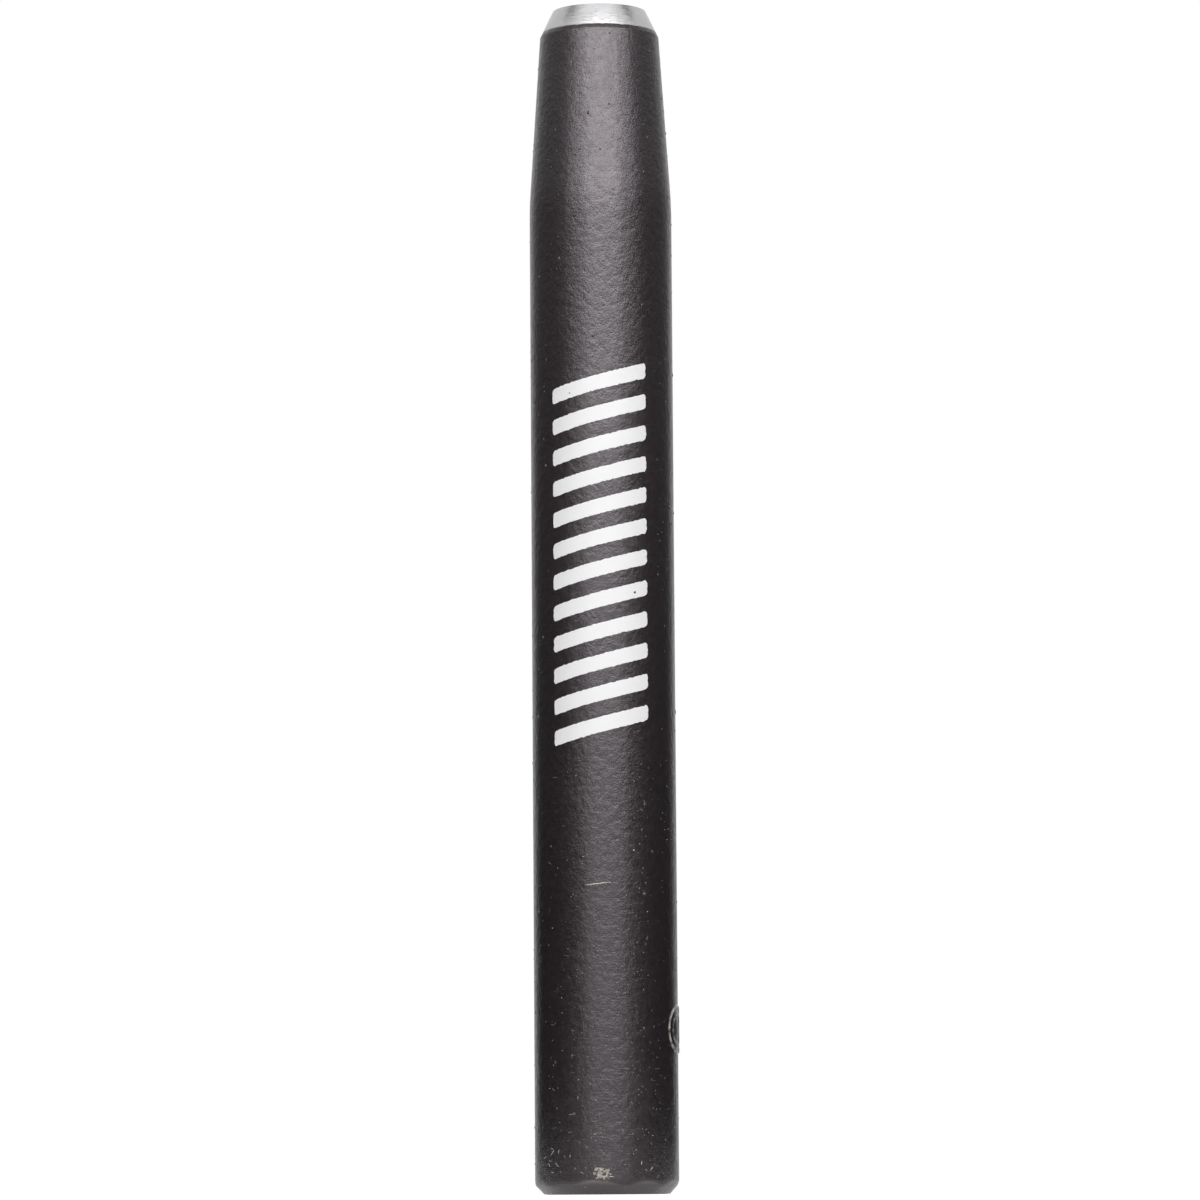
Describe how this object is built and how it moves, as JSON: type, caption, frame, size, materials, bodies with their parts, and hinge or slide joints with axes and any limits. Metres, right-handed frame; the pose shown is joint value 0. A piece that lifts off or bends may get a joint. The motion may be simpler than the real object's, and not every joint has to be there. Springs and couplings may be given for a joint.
{
  "type": "hollow punch",
  "caption": "Straight round steel hollow punch with a ground cutting edge, tapered nose, relieved bore and side slug window, under a black coat.",
  "frame": {"origin": "centre of the struck face, which the punch stands on", "axes": "+Z along the punch towards the cutting edge, +Y out of the slug window, -Y towards the plain front"},
  "size_m": [0.0122, 0.0122, 0.1016],
  "materials": {
    "bare_steel": "bright ground tool steel",
    "black_coat": "satin black baked coat with a fine orange-peel texture",
    "white_ink": "matt white pad-printing ink"
  },
  "bodies": {
    "root": {"punch_body": "bare_steel", "shank_coat": "black_coat"}
  },
  "joints": []
}
